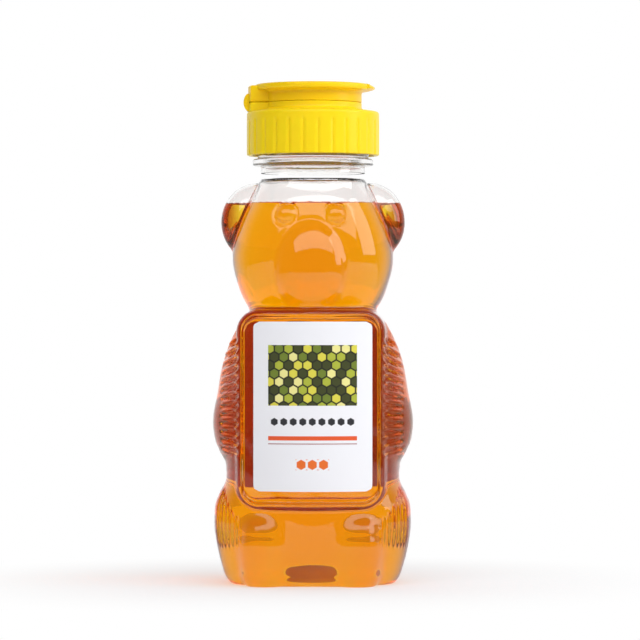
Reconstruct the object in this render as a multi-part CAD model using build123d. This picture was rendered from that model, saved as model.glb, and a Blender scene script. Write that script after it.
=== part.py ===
from build123d import *
import os
from math import copysign, cos, pi, sin

os.makedirs("parts", exist_ok=True)

# Honey bear bottle, in millimetres with Z up. The bear faces -Y, its lid opens
# towards -X, and the origin is on the floor under the middle of the base.

# Bottle shell
shell_wall = 0.8
base_wall = 1.2
outline_steps = 12
overrun = 5.0

# Body, from the floor to the crease under the chin
chin_height = 84.0
body_width = 55.2
body_depth = 48.8
body_fullness = 2.5
# Height, width and depth of each section
body_shares = [
    (0.0, 0.87, 0.84),
    (0.02, 0.94, 0.92),
    (0.06, 0.975, 0.97),
    (0.17, 0.985, 1.0),
    (0.41, 0.975, 0.985),
    (0.62, 1.0, 1.0),
    (0.79, 0.965, 0.985),
    (0.89, 0.86, 0.95),
    (0.95, 0.72, 0.88),
    (1.0, 0.46, 0.66),
]

# Head, from the crease under the chin to the foot of the neck
head_height = 40.9
head_width = 50.0
head_depth = 44.6
head_fullness = 2.2
# Height, width and depth of each section
head_shares = [
    (-0.09, 0.56, 0.56),
    (0.0, 0.765, 0.78),
    (0.07, 0.845, 0.87),
    (0.22, 0.945, 0.96),
    (0.40, 1.0, 1.0),
    (0.56, 0.965, 0.975),
    (0.72, 0.88, 0.91),
    (0.84, 0.785, 0.83),
    (0.94, 0.69, 0.76),
    (1.0, 0.644, 0.767),
]

# Ears, each with a dish in its front
ear_spread = 34.8
ear_rise = 27.6
ear_width = 22.4
ear_length = 24.4
ear_thickness = 14.0
dish_spread = 43.0
dish_width = 10.5
dish_length = 16.5
dish_depth = 2.6

# Eyes
eye_spacing = 14.8
eye_rise = 29.2
eye_diameter = 7.2
eye_thickness = 4.8
eye_reach = 1.4

# Muzzle
muzzle_width = 22.6
muzzle_length = 29.8
muzzle_depth = 16.0
muzzle_rise = 13.6
muzzle_reach = 25.6

# Arms, each hanging from the shoulder to a rounded paw
limb_fullness = 2.0
arm_spread = 42.0
arm_foot = 37.0
arm_length = 43.5
arm_width = 20.0
arm_depth = 29.0
# Height of each section, and its share of the full width and depth
arm_shares = [
    (0.0, 0.30),
    (0.04, 0.62),
    (0.12, 0.87),
    (0.235, 1.0),
    (0.52, 0.86),
    (0.75, 0.65),
    (0.92, 0.36),
    (1.0, 0.17),
]

# Legs
leg_spread = 34.0
leg_length = 33.0
leg_width = 27.0
leg_depth = 35.0
leg_forward = 3.0
leg_shares = [
    (0.0, 0.53),
    (0.048, 0.665),
    (0.153, 0.793),
    (0.34, 0.93),
    (0.62, 1.0),
    (0.80, 0.93),
    (0.92, 0.72),
    (1.0, 0.30),
]

# Feet
foot_spread = 28.6
foot_length = 22.6
foot_width = 15.0
foot_depth = 16.0
foot_reach = 25.8
foot_shares = [
    (0.0, 0.66),
    (0.06, 0.80),
    (0.30, 0.96),
    (0.66, 1.0),
    (0.88, 0.78),
    (1.0, 0.30),
]

# Belly and back panels, each a label recess inside a raised frame
panel_reach = 24.6
panel_curve = 42.0
panel_middle = 54.0
frame_width = 45.8
frame_length = 61.0
frame_corner = 7.0
frame_band = 2.2
frame_proud = 1.2
frame_round = 2.0

# Push-up in the base
punt_width = 26.0
punt_depth = 23.0
punt_height = 6.5

# Neck, support ring and screw finish
neck_diameter = 32.2
neck_bore = 30.0
neck_length = 4.1
ring_diameter = 37.4
ring_thickness = 2.1
ring_round = 0.5
finish_diameter = 34.4
finish_height = 12.3
rim_round = 0.6

# Honey and labels
honey_level = 116.4
honey_gap = 0.25
label_width = 36.2
label_length = 51.6
label_corner = 1.8
label_thickness = 0.15
label_middle = 55.0
label_shift = 0.7

# Liner
liner_thickness = 0.8
liner_gap = 0.1

# Cap
cap_diameter = 41.0
cap_clearance = 1.1
skirt_wall = 1.6
deck_thickness = 1.4
deck_round = 0.9
deck_rise = 0.7
rise_root = 0.7
platform_diameter = 30.2
platform_wall = 1.5
platform_height = 2.7
spigot_wall = 1.0
spigot_height = 1.4
nozzle_diameter = 9.4
nozzle_tip = 7.8
nozzle_height = 3.0
orifice_diameter = 6.0
groove_count = 28
groove_width = 0.9
groove_depth = 0.35
groove_margin = 2.8

# Lid
split_gap = 0.1
lid_wall = 1.3
lid_height = 5.6
flange_diameter = 36.2
flange_thickness = 1.9
flange_round = 0.6
flange_fillet = 1.2
plate_thickness = 1.4
spigot_gap = 0.3
pin_diameter = 5.2
pin_length = 2.9
pin_taper = 0.6
lip_reach = 1.1
lip_root = 2.75
lip_sink = 0.3
lip_width = 11.0
lip_thickness = 0.5
lip_drop = 0.9

# Hinge blocks and spring strap
hinge_reach = 20.1
hinge_width = 14.0
hinge_root = 13.0
hinge_block_height = 5.1
strap_width = 8.0
strap_bulge = 1.3
strap_thickness = 0.45
strap_span = 5.5

# Levels that follow from the sizes
neck_foot = chin_height + head_height
ring_foot = neck_foot + neck_length
finish_foot = ring_foot + ring_thickness
rim_level = finish_foot + finish_height
deck_foot = rim_level + liner_gap + liner_thickness + liner_gap
deck_level = deck_foot + deck_thickness
split_level = deck_level + platform_height
cap_foot = finish_foot + cap_clearance
lid_foot = split_level + split_gap
lid_top = lid_foot + lid_height
hinge_level = split_level + split_gap / 2


def rounded_section(width, depth, level, fullness, inset):
    """One closed outline across the bottle, between an oval and a box."""
    points = []
    for step in range(outline_steps):
        turn = 2 * pi * step / outline_steps
        across = copysign(abs(cos(turn)) ** (2 / fullness), cos(turn))
        along = copysign(abs(sin(turn)) ** (2 / fullness), sin(turn))
        points.append(((width / 2 - inset) * across, (depth / 2 - inset) * along))
    return Pos(0, 0, level) * make_face(Spline(*points, periodic=True))


def trunk(shares, foot, height, width, depth, fullness, inset):
    """A loft through rounded sections, drawn in by the inset."""
    sections = []
    for height_share, width_share, depth_share in shares:
        level = foot + height * height_share
        section_width = width * width_share
        section_depth = depth * depth_share
        sections.append(rounded_section(section_width, section_depth, level, fullness, inset))
    return loft(sections)


def egg(middle, width, depth, height, inset):
    """A ball stretched to three sizes, drawn in by the inset."""
    radius = height / 2 - inset
    stretch = ((width / 2 - inset) / radius, (depth / 2 - inset) / radius, 1)
    return Pos(*middle) * scale(Sphere(radius), by=stretch)


def limb(shares, length, width, depth, inset):
    """A rounded column on the Z axis, through round sections."""
    sections = []
    for height_share, width_share in shares:
        level = (length - inset) * height_share
        section_width = width * width_share
        section_depth = depth * width_share
        sections.append(rounded_section(section_width, section_depth, level, limb_fullness, inset))
    return loft(sections)


def pair(piece):
    """A piece on the bear's left, and its mirror image on the right."""
    return [piece, mirror(piece, Plane.YZ)]


def head_reach(rise, across):
    """How far the face stands from the axis at a place beside the middle line."""
    share = rise / head_height
    for low, high in zip(head_shares, head_shares[1:]):
        if low[0] <= share <= high[0]:
            part = (share - low[0]) / (high[0] - low[0])
            half_width = head_width / 2 * (low[1] + (high[1] - low[1]) * part)
            half_depth = head_depth / 2 * (low[2] + (high[2] - low[2]) * part)
    side = abs(across) / half_width
    return half_depth * (1 - side ** head_fullness) ** (1 / head_fullness)


def ear(inset):
    middle = (ear_spread / 2, 0, chin_height + ear_rise)
    return egg(middle, ear_width, ear_thickness, ear_length, inset)


def ear_dish(inset):
    middle = (dish_spread / 2, -ear_thickness / 2, chin_height + ear_rise)
    return egg(middle, dish_width, 2 * dish_depth, dish_length, -inset)


def eye(inset):
    across = eye_spacing / 2
    front = head_reach(eye_rise, across) + eye_reach
    middle = (across, eye_thickness / 2 - front, chin_height + eye_rise)
    return egg(middle, eye_diameter, eye_thickness, eye_diameter, inset)


def muzzle(inset):
    middle = (0, muzzle_depth / 2 - muzzle_reach, chin_height + muzzle_rise)
    return egg(middle, muzzle_width, muzzle_depth, muzzle_length, inset)


def arm(inset):
    shape = limb(arm_shares, arm_length, arm_width, arm_depth, inset)
    return Pos(arm_spread / 2, 0, arm_foot) * shape


def leg(inset):
    shape = limb(leg_shares, leg_length, leg_width, leg_depth, inset)
    return Pos(leg_spread / 2, -leg_forward, 0) * shape


def foot(inset):
    shape = limb(foot_shares, foot_length, foot_width, foot_depth, inset)
    return Pos(foot_spread / 2, foot_depth / 2 - foot_reach, 0) * shape


def panel_plate(inset):
    """A rounded plate, square to the view, that reaches past the front."""
    outline = RectangleRounded(frame_width - 2 * inset, frame_length - 2 * inset, frame_corner - inset)
    plane = Plane((0, 0, panel_middle), x_dir=(1, 0, 0), z_dir=(0, -1, 0))
    return extrude(plane * outline, panel_reach + overrun)


def panel_drum(proud):
    """The upright drum whose front is the face of the panel."""
    middle = Pos(0, panel_curve - panel_reach, panel_middle)
    return middle * Cylinder(panel_curve + proud, frame_length + overrun)


def panel_frame(inset):
    """The raised frame, rounded over to the sides."""
    block = panel_plate(inset) & panel_drum(frame_proud - inset)
    face = block.faces().sort_by(Axis.Y)[0]
    return fillet(face.edges(), frame_round - inset)


def panel_recess(inset):
    return panel_plate(frame_band - inset) - panel_drum(-inset)


def bear(inset):
    """The whole bear up to its neck, drawn in by the inset."""
    body = trunk(body_shares, 0, chin_height, body_width, body_depth, body_fullness, inset)
    head = trunk(head_shares, chin_height, head_height, head_width, head_depth, head_fullness, inset)
    parts = [head, muzzle(inset)]
    for shape in (ear, eye, arm, leg, foot):
        parts += pair(shape(inset))
    frame = panel_frame(inset)
    parts += [frame, mirror(frame, Plane.XZ)]
    whole = body + parts
    recess = panel_recess(inset)
    hollows = [recess, mirror(recess, Plane.XZ)]
    hollows += pair(ear_dish(inset))
    hollows.append(egg((0, 0, 0), punt_width, punt_depth, 2 * punt_height, -inset))
    return whole - hollows


def turned(points):
    """A solid turned about the Z axis from a closed outline."""
    return revolve(Plane.XZ * make_face(Polyline(*points, close=True)), Axis.Z)


def column(diameter, low, high):
    """An upright round column between two levels."""
    aligned = (Align.CENTER, Align.CENTER, Align.MIN)
    return Pos(0, 0, low) * Cylinder(diameter / 2, high - low, align=aligned)


def slab(width, depth, low, high):
    """An upright block between two levels, centred on the Z axis."""
    aligned = (Align.CENTER, Align.CENTER, Align.MIN)
    return Pos(0, 0, low) * Box(width, depth, high - low, align=aligned)


def round_edges(shape):
    """The circles of a shape, lowest first."""
    return shape.edges().filter_by(GeomType.CIRCLE).sort_by(Axis.Z)


def neck():
    """The plain neck, the support ring and the finish that the cap goes on to."""
    ring = column(ring_diameter, ring_foot, finish_foot)
    ring = fillet(round_edges(ring), ring_round)
    finish = column(finish_diameter, ring_foot, rim_level)
    finish = fillet(round_edges(finish)[-1], rim_round)
    return column(neck_diameter, neck_foot, ring_foot) + ring + finish


def room_above(floor_level):
    """A block that holds the whole bottle, from a level up."""
    return slab(2 * body_width, 2 * body_depth, floor_level, rim_level + overrun)


def bottle():
    """The open shell: the bear less the same bear drawn in by its wall."""
    inside = bear(shell_wall) & room_above(base_wall)
    bore = column(neck_bore, neck_foot - neck_length, rim_level + overrun)
    return bear(0) + neck() - inside - bore


def honey():
    """The filling, which takes the inside of the shell up to its level."""
    filling = bear(shell_wall + honey_gap) & room_above(base_wall + honey_gap)
    return filling - room_above(honey_level)


def label_front():
    """The paper label, bent round the face of the belly panel."""
    sheet = panel_drum(label_thickness) - panel_drum(0)
    plane = Plane((label_shift, 0, label_middle), x_dir=(1, 0, 0), z_dir=(0, -1, 0))
    outline = plane * RectangleRounded(label_width, label_length, label_corner)
    return extrude(outline, panel_reach + overrun) & sheet


def label_back():
    return mirror(label_front(), Plane.XZ)


def liner():
    """The foam ring that the cap presses on to the rim."""
    low = rim_level + liner_gap
    high = low + liner_thickness
    return column(finish_diameter, low, high) - column(neck_bore, low, high)


def grooves():
    """Shallow upright flutes round the skirt."""
    flute = column(groove_width, cap_foot - overrun, deck_level - groove_margin)
    place = Pos(cap_diameter / 2 + groove_width / 2 - groove_depth, 0, 0)
    return [Rot(0, 0, 360 * turn / groove_count) * place * flute for turn in range(groove_count)]


def hinge_block(low, high):
    """A block at the back of the closure, rounded to the skirt."""
    block = Pos(-hinge_reach, 0, 0) * slab(2 * (hinge_reach - hinge_root), hinge_width, low, high)
    return block & column(2 * hinge_reach, low, high)


def cap_base():
    """The screw cap: skirt, deck, platform, spigot and pouring nozzle."""
    skirt = column(cap_diameter, cap_foot, deck_level)
    skirt = fillet(round_edges(skirt)[-1], deck_round)
    skirt -= grooves()
    rise = turned(
        [
            (0, deck_foot),
            (cap_diameter / 2 - deck_round, deck_level),
            (platform_diameter / 2 + rise_root, deck_level + deck_rise),
            (platform_diameter / 2, deck_level + deck_rise + rise_root),
            (0, deck_level + deck_rise + rise_root),
        ]
    )
    shape = skirt + rise + column(platform_diameter, deck_level, split_level)
    shape += hinge_block(deck_level - deck_thickness, split_level)
    shape -= column(cap_diameter - 2 * skirt_wall, cap_foot, deck_foot)
    shape -= column(platform_diameter - 2 * platform_wall, deck_foot, split_level - platform_wall)
    spigot_diameter = platform_diameter - 2 * lid_wall - 2 * spigot_gap
    shape += column(spigot_diameter, split_level, split_level + spigot_height)
    shape -= column(spigot_diameter - 2 * spigot_wall, split_level, split_level + spigot_height)
    nozzle_top = split_level + nozzle_height
    shape += turned(
        [
            (0, split_level - platform_wall),
            (nozzle_diameter / 2, split_level - platform_wall),
            (nozzle_diameter / 2, split_level),
            (nozzle_tip / 2, nozzle_top),
            (0, nozzle_top),
        ]
    )
    return shape - column(orifice_diameter, deck_foot, nozzle_top)


def flip_lid():
    """The lid: a shallow drum under a wide flange, with its plug pin and thumb lip."""
    flange_foot = lid_top - flange_thickness
    plate_foot = lid_top - plate_thickness
    shape = column(platform_diameter, lid_foot, flange_foot)
    shape += column(flange_diameter, flange_foot, lid_top)
    drum_edges = round_edges(shape).sort_by(SortBy.RADIUS)[:2]
    shape = fillet(drum_edges.sort_by(Axis.Z)[-1], flange_fillet)
    flange_edges = round_edges(shape).sort_by(SortBy.RADIUS)[-2:]
    shape = fillet(flange_edges, flange_round)
    shape += thumb_lip()
    shape += hinge_block(lid_foot, lid_foot + hinge_block_height)
    shape -= column(platform_diameter - 2 * lid_wall, lid_foot, plate_foot)
    pin = column(pin_diameter, plate_foot - pin_length, plate_foot)
    return shape + chamfer(round_edges(pin)[0], pin_taper)


def thumb_lip():
    """A wedge that carries the flange on past its edge, opposite the hinge."""
    root = flange_diameter / 2 - lip_root
    tip = flange_diameter / 2 + lip_reach
    tip_top = lid_top - lip_drop
    outline = Polyline(
        (root, lid_top - lip_sink),
        (tip, tip_top),
        (tip, tip_top - lip_thickness),
        (root, lid_top - flange_thickness),
        close=True,
    )
    wedge = extrude(Plane.XZ * make_face(outline), lip_width / 2, both=True)
    corners = wedge.edges().filter_by(Axis.Z).sort_by(Axis.X)[-2:]
    return fillet(corners, lip_thickness)


def hinge_strap():
    """The folded spring strap, a thin bow between the two hinge blocks."""
    half_span = strap_span / 2
    ends = [(-hinge_reach, hinge_level + half_span), (-hinge_reach, hinge_level - half_span)]
    inner_ends = [
        (-hinge_reach, hinge_level - half_span + strap_thickness),
        (-hinge_reach, hinge_level + half_span - strap_thickness),
    ]
    outer = ThreePointArc(ends[0], (-hinge_reach - strap_bulge, hinge_level), ends[1])
    middle = (-hinge_reach - strap_bulge + strap_thickness, hinge_level)
    inner = ThreePointArc(inner_ends[0], middle, inner_ends[1])
    closing = [Line(ends[1], inner_ends[0]), Line(inner_ends[1], ends[0])]
    face = Plane.XZ * make_face([outer, inner] + closing)
    return extrude(face, strap_width / 2, both=True)


for node in (bottle, honey, label_front, label_back, liner, cap_base, flip_lid, hinge_strap):
    export_step(node(), f"parts/{node.__name__}.step")
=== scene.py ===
import math
import bmesh
import bpy
import numpy as np
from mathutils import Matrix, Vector

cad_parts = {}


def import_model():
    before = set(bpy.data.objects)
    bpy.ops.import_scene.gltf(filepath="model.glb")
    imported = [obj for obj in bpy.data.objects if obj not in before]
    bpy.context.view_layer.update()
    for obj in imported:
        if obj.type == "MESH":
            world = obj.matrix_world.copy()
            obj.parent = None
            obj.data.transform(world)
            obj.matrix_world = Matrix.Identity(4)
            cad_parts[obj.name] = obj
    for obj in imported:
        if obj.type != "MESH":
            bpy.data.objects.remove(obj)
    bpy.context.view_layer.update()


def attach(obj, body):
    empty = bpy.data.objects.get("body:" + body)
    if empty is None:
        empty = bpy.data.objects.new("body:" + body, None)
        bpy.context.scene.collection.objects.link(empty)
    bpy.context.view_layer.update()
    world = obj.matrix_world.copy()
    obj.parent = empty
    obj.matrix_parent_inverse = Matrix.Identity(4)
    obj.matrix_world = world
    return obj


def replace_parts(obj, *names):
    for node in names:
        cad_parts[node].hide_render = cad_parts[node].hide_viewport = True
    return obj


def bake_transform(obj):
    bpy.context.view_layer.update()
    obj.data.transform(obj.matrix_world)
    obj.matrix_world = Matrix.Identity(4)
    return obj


# Honey bear bottle. Forms are worked out in millimetres and stored in metres.

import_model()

MM = 0.001
# Spacing of the grids that the shell's outside, and its inside and the honey, are cut from
FINE = 0.45
STEP = 0.6

# Sizes of the shell, as in the CAD source
SHELL_WALL = 0.8
BASE_WALL = 1.2
CHIN = 84.0
BODY = (55.2, 48.8, 2.5)
BODY_SHARES = np.array([
    (0.0, 0.84, 0.82), (0.012, 0.905, 0.885), (0.035, 0.955, 0.945), (0.09, 0.98, 0.985),
    (0.17, 0.985, 1.0), (0.41, 0.975, 0.985), (0.62, 1.0, 1.0), (0.79, 0.965, 0.985),
    (0.89, 0.86, 0.95), (0.95, 0.72, 0.88), (1.0, 0.46, 0.66)])
HEAD_HEIGHT = 40.9
HEAD = (50.0, 44.6, 2.2)
HEAD_SHARES = np.array([
    (-0.09, 0.56, 0.56), (0.0, 0.765, 0.78), (0.07, 0.845, 0.87), (0.22, 0.945, 0.96),
    (0.40, 1.0, 1.0), (0.56, 0.965, 0.975), (0.72, 0.88, 0.91), (0.84, 0.785, 0.83),
    (0.94, 0.69, 0.74), (1.0, 0.644, 0.722)])
EAR_CENTRE = (17.4, 0.0, CHIN + 27.6)
EAR_RADII = (11.2, 7.0, 12.2)
DISH_CENTRE = (20.6, -7.5, CHIN + 27.6)
DISH_RADII = (3.0, 1.4, 7.5)
EYE_CENTRE = (7.4, -18.2, CHIN + 29.2)
EYE_RADII = (3.45, 2.8, 3.45)
MUZZLE_CENTRE = (0.0, -17.6, CHIN + 13.6)
MUZZLE_RADII = (11.3, 8.0, 14.9)
ARM_PLACE = (21.0, 0.0, 37.0)
ARM = (43.5, 20.0, 29.0)
ARM_SHARES = np.array([
    (0.0, 0.30), (0.04, 0.62), (0.12, 0.87), (0.235, 1.0), (0.52, 0.86), (0.75, 0.65),
    (0.92, 0.36), (1.0, 0.17)])
LEG_PLACE = (17.0, -3.0, 0.0)
LEG = (33.0, 27.0, 35.0)
LEG_SHARES = np.array([
    (0.0, 0.53), (0.048, 0.665), (0.153, 0.793), (0.34, 0.93), (0.62, 1.0), (0.80, 0.93),
    (0.92, 0.72), (1.0, 0.30)])
FOOT_PLACE = (14.3, -17.65, 0.0)
FOOT = (22.6, 15.0, 16.0)
FOOT_SHARES = np.array([
    (0.0, 0.66), (0.06, 0.80), (0.30, 0.96), (0.66, 1.0), (0.88, 0.78), (1.0, 0.30)])
LIMB_BLEND = 2.5
PANEL_REACH = 24.6
PANEL_CURVE = 42.0
PANEL_MIDDLE = 54.0
FRAME_SIZE = (45.8, 61.0, 7.0)
FRAME_BAND = 2.2
FRAME_PROUD = 1.2
PUNT_RADII = (13.0, 11.5, 6.5)
NECK_RADIUS = 16.1
BORE_RADIUS = 15.0
RING_FOOT = 129.0
RING_TOP = 131.1
RING_RADIUS = 18.7
FINISH_RADIUS = 17.2
RIM_LEVEL = 143.4
SEAM_LEVEL = 126.5
THREAD_PITCH = 25.4 / 6
HONEY_LEVEL = 116.4

# Fine relief that only the scene has
HONEY_GAP = 0.05
SKIN_EASE = 0.12
RIPPLE_OUTSIDE = 0.03
RIPPLE_INSIDE = 0.05
EYE_CREASE = 0.42
MUZZLE_CREASE = 0.34
ARM_RIB_PITCH = 2.75
ARM_RIB_HEIGHT = 0.42
LEG_RIBS_PER_RADIAN = 7.5
LEG_RIB_HEIGHT = 0.33
NECK_THREAD_HEIGHT = 1.15

# Labels
LABEL_SIZE = (36.2, 51.6, 1.8)
LABEL_MIDDLE = 55.0
LABEL_SHIFT = 0.7
LABEL_THICKNESS = 0.15
LABEL_WHITE = (0.88, 0.89, 0.93)
# The labels' stuck side is painted dark red-brown: the shade behind them, tinted by the honey.
LABEL_BACKING_SHADE = (0.36, 0.11, 0.04)
WHITE = (1, 1, 1, 1)
SQRT3 = math.sqrt(3)


# Curves and blends

def soft_min(a, b, soft):
    """The nearer of two forms, with their crease rounded."""
    part = np.clip(0.5 + 0.5 * (b - a) / soft, 0, 1)
    return b + (a - b) * part - soft * part * (1 - part)


def soft_max(a, b, soft):
    return -soft_min(-a, -b, soft)


def smooth_step(value, low, high):
    part = np.clip((value - low) / (high - low), 0, 1)
    return part * part * (3 - 2 * part)


def along_table(places, values, where):
    """A smooth curve through a table, with its slope."""
    slopes = np.gradient(values, places)
    place = np.clip(where, places[0], places[-1])
    index = np.clip(np.searchsorted(places, place) - 1, 0, len(places) - 2)
    span = places[index + 1] - places[index]
    t = (place - places[index]) / span
    low, high = values[index], values[index + 1]
    out, into = slopes[index] * span, slopes[index + 1] * span
    curve = (2 * t**3 - 3 * t**2 + 1) * low + (t**3 - 2 * t**2 + t) * out
    curve += (3 * t**2 - 2 * t**3) * high + (t**3 - t**2) * into
    slope = (6 * t**2 - 6 * t) * (low - high) + (3 * t**2 - 4 * t + 1) * out
    slope += (3 * t**2 - 2 * t) * into
    return curve, slope / span


# Distance fields of the bear's forms, in millimetres

def column_field(p, place, foot, height, width, depth, fullness, shares):
    """How far each point is outside an upright form through rounded sections."""
    x, y, z = p
    dx, dy = x - place[0], y - place[1]
    levels = foot + height * shares[:, 0]
    half_width, slope = along_table(levels, width / 2 * shares[:, 1], z)
    half_depth, _ = along_table(levels, depth / 2 * shares[:, -1], z)
    across, along = np.abs(dx / half_width), np.abs(dy / half_depth)
    size = (across**fullness + along**fullness) ** (1 / fullness)
    reach = np.hypot(dx, dy)
    side = reach * (1 - 1 / np.maximum(size, 1e-3)) / np.sqrt(1 + slope**2)
    ends = np.maximum(levels[0] - z, z - levels[-1])
    return np.maximum(side, ends)


def egg_field(p, centre, radii):
    """About how far each point is outside an ellipsoid."""
    scaled = [(p[i] - centre[i]) / radii[i] for i in range(3)]
    size = np.sqrt(sum(s * s for s in scaled))
    pull = np.sqrt(sum((s / r) ** 2 for s, r in zip(scaled, radii)))
    return size * (size - 1) / np.maximum(pull, 1e-4)


def plate_field(p, width, length, corner):
    """How far each point is outside the outline of the belly panel."""
    x, _, z = p
    qx = np.abs(x) - width / 2 + corner
    qz = np.abs(z - PANEL_MIDDLE) - length / 2 + corner
    outside = np.hypot(np.maximum(qx, 0), np.maximum(qz, 0))
    return outside + np.minimum(np.maximum(qx, qz), 0) - corner


def drum_field(p, radius):
    """How far each point is outside the drum whose face is the panel, front or back."""
    x, y, _ = p
    return np.hypot(x, np.abs(y) + PANEL_CURVE - PANEL_REACH) - radius


def bear_field(p):
    """The bear without its frame edges and fur."""
    x, y, z = p
    side = (np.abs(x), y, z)
    body = column_field(p, (0, 0), 0, CHIN, *BODY, BODY_SHARES)
    head = column_field(p, (0, 0), CHIN, HEAD_HEIGHT, *HEAD, HEAD_SHARES)
    muzzle = egg_field(p, MUZZLE_CENTRE, MUZZLE_RADII)
    head = soft_min(head, muzzle, 0.7)
    head = soft_min(head, egg_field(side, EYE_CENTRE, EYE_RADII), 0.3)
    ear = egg_field(side, EAR_CENTRE, EAR_RADII)
    ear = soft_max(ear, -egg_field(side, DISH_CENTRE, DISH_RADII), 0.8)
    head = soft_min(head, ear, 1.0)
    arm = column_field(side, ARM_PLACE, ARM_PLACE[2], *ARM, 2.0, ARM_SHARES)
    body = soft_min(body, arm, LIMB_BLEND)
    leg = column_field(side, LEG_PLACE, LEG_PLACE[2], *LEG, 2.0, LEG_SHARES)
    body = soft_min(body, leg, LIMB_BLEND)
    foot = column_field(side, FOOT_PLACE, FOOT_PLACE[2], *FOOT, 2.0, FOOT_SHARES)
    body = soft_min(body, foot, LIMB_BLEND)
    pad = soft_max(plate_field(p, *FRAME_SIZE), drum_field(p, PANEL_CURVE), 2.5)
    body = soft_min(body, pad, 1.0)
    whole = soft_min(body, head, LIMB_BLEND)
    whole = soft_max(whole, -egg_field(p, (0, 0, 0), PUNT_RADII), 1.5)
    return np.maximum(whole, -z)


def frame_field(p, whole):
    """Raises the frame round each panel and sinks the panel inside it."""
    width, length, corner = FRAME_SIZE
    outline = plate_field(p, *FRAME_SIZE)
    frame_body = soft_max(outline, drum_field(p, PANEL_CURVE + FRAME_PROUD), 2.0)
    whole = soft_min(whole, frame_body, 0.6)
    band = 2 * FRAME_BAND
    hollow = plate_field(p, width - band, length - band, corner - FRAME_BAND)
    hollow = soft_max(hollow, -drum_field(p, PANEL_CURVE), 0.8)
    return soft_max(whole, -hollow, 0.8)


def face_creases(p):
    """Fine grooves that outline the eyes and the muzzle."""
    x, y, z = p
    side = (np.abs(x), y, z)
    eye = np.exp(-((egg_field(side, EYE_CENTRE, EYE_RADII) - 0.3) / 0.35) ** 2)
    muzzle = np.exp(-((egg_field(p, MUZZLE_CENTRE, MUZZLE_RADII) - 0.5) / 0.5) ** 2)
    zone = smooth_step(-y, 12.0, 15.0) * smooth_step(z, CHIN + 2.0, CHIN + 6.0)
    return zone * np.maximum(EYE_CREASE * eye, MUZZLE_CREASE * muzzle)


def arm_fur(p):
    """Slanting ribs on the front of each arm."""
    x, y, z = p
    across = np.abs(x) - 24.0
    tilt = 0.9 * (z - 50.0) / 28.0
    wave = np.cos(2 * math.pi * (z + tilt * across) / ARM_RIB_PITCH)
    zone = smooth_step(np.abs(x), 21.5, 23.0) * (1 - smooth_step(np.abs(x), 27.0, 28.6))
    zone *= smooth_step(z, 38.0, 42.0) * (1 - smooth_step(z, 73.0, 77.5))
    zone *= smooth_step(np.abs(y), 1.0, 4.0)
    return ARM_RIB_HEIGHT * zone * wave


def leg_fur(p):
    """Upright curved ribs on the outer front of each leg."""
    x, y, z = p
    dx, dy = np.abs(x) - LEG_PLACE[0], (np.abs(y) + LEG_PLACE[1]) * 0.8
    turn = np.arctan2(dy, dx)
    wave = np.cos(turn * LEG_RIBS_PER_RADIAN * 2 * math.pi)
    top = 30.5 - 9.0 * smooth_step(turn, 0.45, 1.3)
    zone = smooth_step(turn, 0.3, 0.5) * (1 - smooth_step(turn, 1.2, 1.35))
    zone *= smooth_step(z, 10.5, 14.5) * (1 - smooth_step(z - top, -2.5, 0.0))
    zone *= smooth_step(np.hypot(dx, dy), 6.0, 8.0)
    return LEG_RIB_HEIGHT * zone * wave


def ripple(p, size):
    """The slight unevenness of a blown wall."""
    x, y, z = p
    wave = np.sin(0.31 * x + 0.17 * z + 1.3) * np.sin(0.23 * y - 0.29 * z + 0.4)
    return size * (wave + 0.6 * np.sin(0.53 * z + 0.41 * x - 0.37 * y))


def outer_field(p):
    """Zero on the outside of the wall, eased a little inside the solid but for its foot."""
    whole = frame_field(p, bear_field(p)) + SKIN_EASE * smooth_step(p[2], 0.0, 1.5)
    whole = whole + face_creases(p) + arm_fur(p) + leg_fur(p) + ripple(p, RIPPLE_OUTSIDE)
    return soft_max(whole, -p[2], 0.3)


def inner_field(p):
    """Zero on the inside of the wall."""
    floor_level = BASE_WALL - p[2]
    whole = bear_field(p) + SHELL_WALL + ripple(p, RIPPLE_INSIDE)
    return soft_max(whole, floor_level, 1.0)


def honey_field(p):
    """Zero on the honey's skin, which climbs the wall a little at its level."""
    depth = inner_field(p)
    climb, reach = 1.3, 1.1
    rise = climb * np.exp(np.minimum(depth, 0) / reach)
    return soft_max(depth + HONEY_GAP, p[2] - HONEY_LEVEL - rise, 0.2)


# Mesh tools

def grid_values(field, axes, block=4):
    """Values of a field on a grid: exact near its surface, and of the right sign elsewhere."""
    step = axes[0][1] - axes[0][0]
    middles = [axis[::block] + step * (block - 1) / 2 for axis in axes]
    coarse = field(np.meshgrid(*middles, indexing="ij"))
    margin = 1.2 * step * block + 0.8
    near = np.abs(coarse) < margin
    shape = tuple(len(axis) for axis in axes)
    for axis in range(3):
        coarse = np.repeat(coarse, block, axis)
        near = np.repeat(near, block, axis)
    value = coarse[:shape[0], :shape[1], :shape[2]].copy()
    at = np.nonzero(near[:shape[0], :shape[1], :shape[2]])
    value[at] = field([axes[i][at[i]] for i in range(3)])
    return value


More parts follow.
